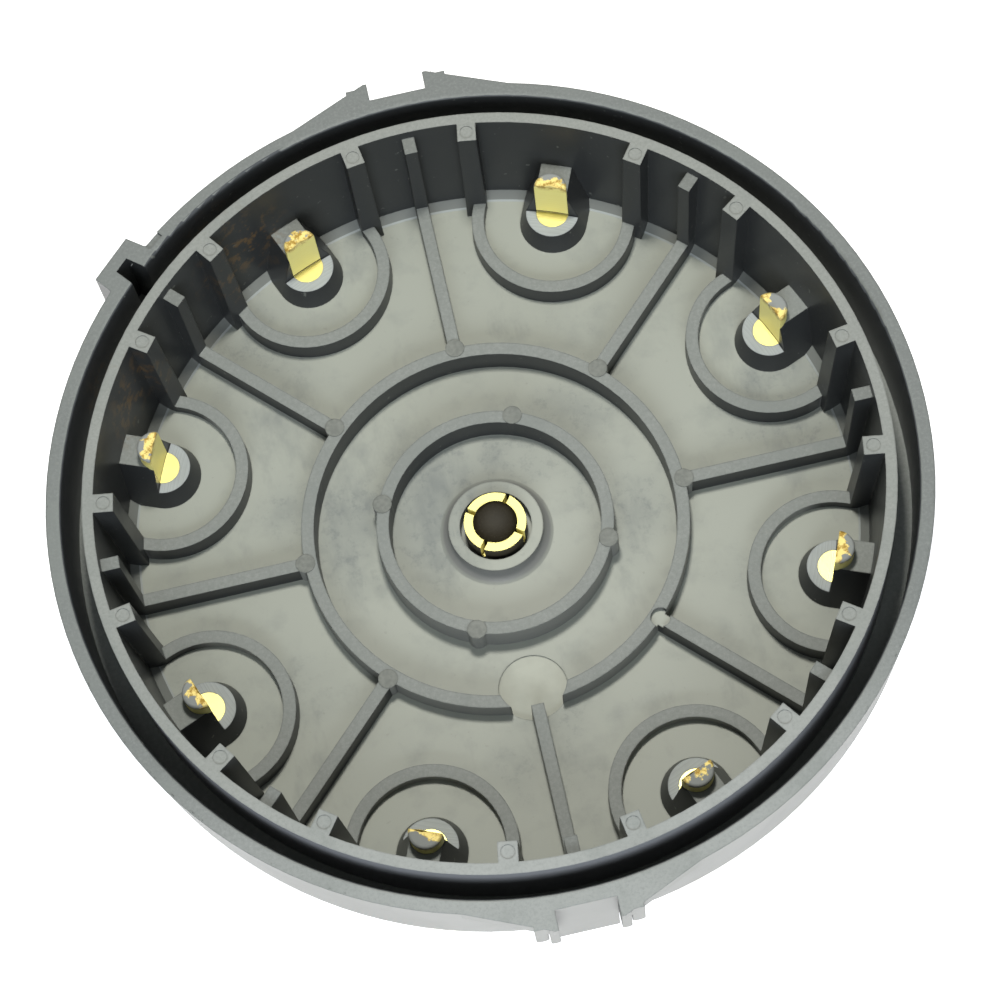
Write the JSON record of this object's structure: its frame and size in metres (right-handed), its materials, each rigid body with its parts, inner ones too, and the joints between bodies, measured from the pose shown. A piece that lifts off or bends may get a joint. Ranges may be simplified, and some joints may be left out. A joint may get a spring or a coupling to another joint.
{
  "type": "distributor cap",
  "caption": "Round moulded distributor cap with a double rim, ribbed bowl, brass lead terminals with turned inner faces, and a sprung carbon contact in the middle.",
  "frame": {"origin": "on the cap axis, in the plane of the outer rim's seating face", "axes": "+Z along the cap axis out of the open side, +Y towards the rear clip seat; the index tab is 135 degrees from +X"},
  "size_m": [0.14, 0.1464, 0.0603],
  "materials": {
    "cap_plastic": "grey glass-filled polyester, semi-gloss as moulded",
    "brass": "bright turned faces, dull grey-brown as cast in",
    "carbon": "pressed carbon, satin",
    "spring_steel": "plain drawn wire"
  },
  "bodies": {
    "cap": {"cap_body": "cap_plastic", "terminal_1": "brass", "terminal_2": "brass", "terminal_3": "brass", "terminal_4": "brass", "terminal_5": "brass", "terminal_6": "brass", "terminal_7": "brass", "terminal_8": "brass", "centre_terminal": "brass", "brush_spring": "spring_steel"},
    "brush": {"carbon_brush": "carbon"}
  },
  "joints": [
    {"name": "brush_slide", "type": "slide", "parent": "cap", "child": "brush", "axis": [0, 0, -1], "range_m": [0, 0.0025], "stiffness_N_per_m": 400, "springref_m": -0.004, "deforming": ["brush_spring"]}
  ]
}
